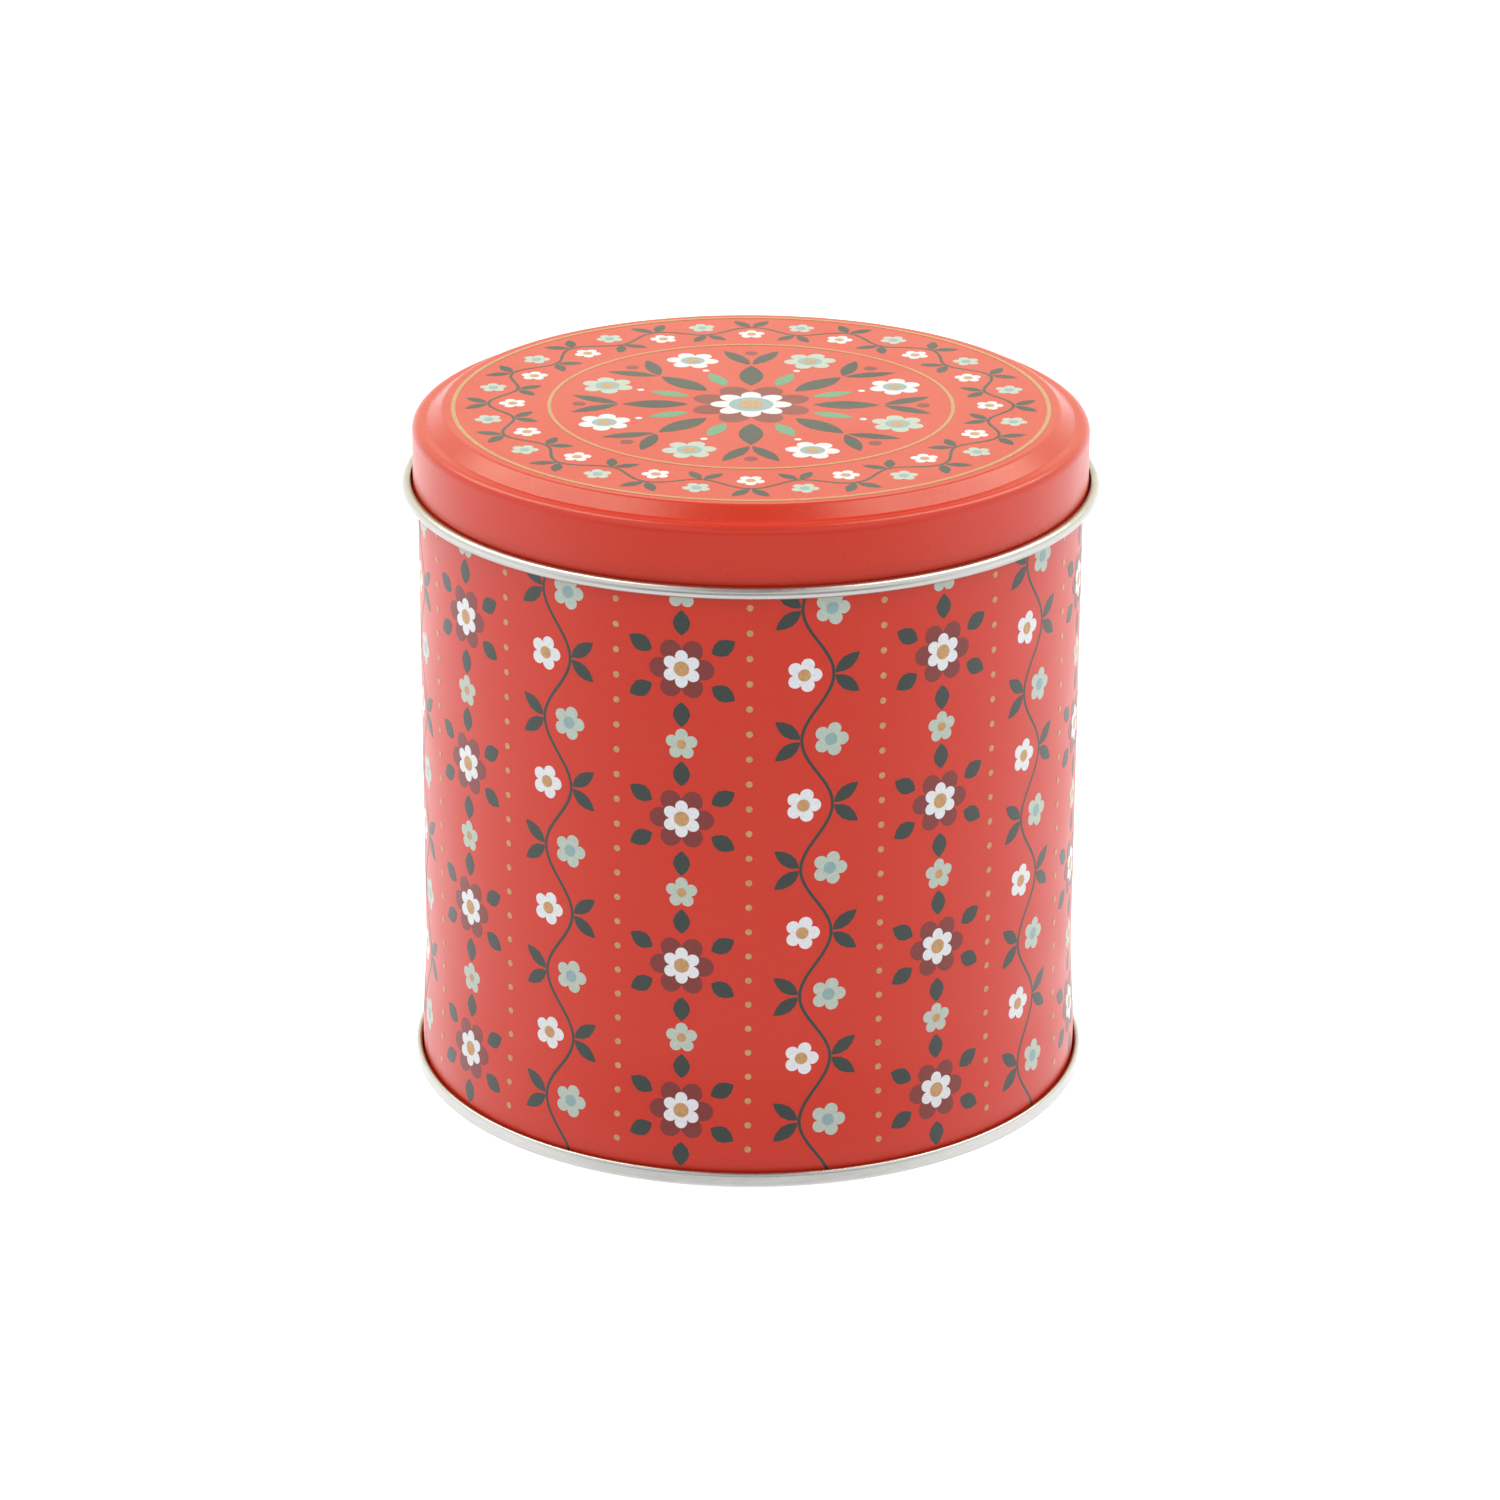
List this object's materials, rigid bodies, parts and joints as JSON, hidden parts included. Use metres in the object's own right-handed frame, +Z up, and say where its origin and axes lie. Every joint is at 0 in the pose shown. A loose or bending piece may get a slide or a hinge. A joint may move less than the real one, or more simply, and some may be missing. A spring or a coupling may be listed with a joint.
{
  "type": "cookie tin",
  "caption": "Round printed tinplate cookie tin with a lift-off slip lid, rolled curls and a seamed bottom.",
  "frame": {"origin": "centre of the tin's round foot, on the surface that it stands on", "axes": "+Z up along the tin's axis; -Y towards the front of the printed pattern, opposite the wall's side seam"},
  "size_m": [0.136, 0.136, 0.136],
  "materials": {
    "lid_print": "satin red lacquer with printed folk flowers",
    "wall_print": "satin red lacquer with printed folk flowers",
    "bare_tinplate": "bright bare tinplate"
  },
  "bodies": {
    "tin": {"body_wall": "wall_print", "bottom_end": "bare_tinplate"},
    "lid": {"lid": "lid_print"}
  },
  "joints": [
    {"name": "lid_lift", "type": "slide", "parent": "tin", "child": "lid", "axis": [0, 0, 1], "range_m": [0, 0.055]}
  ]
}
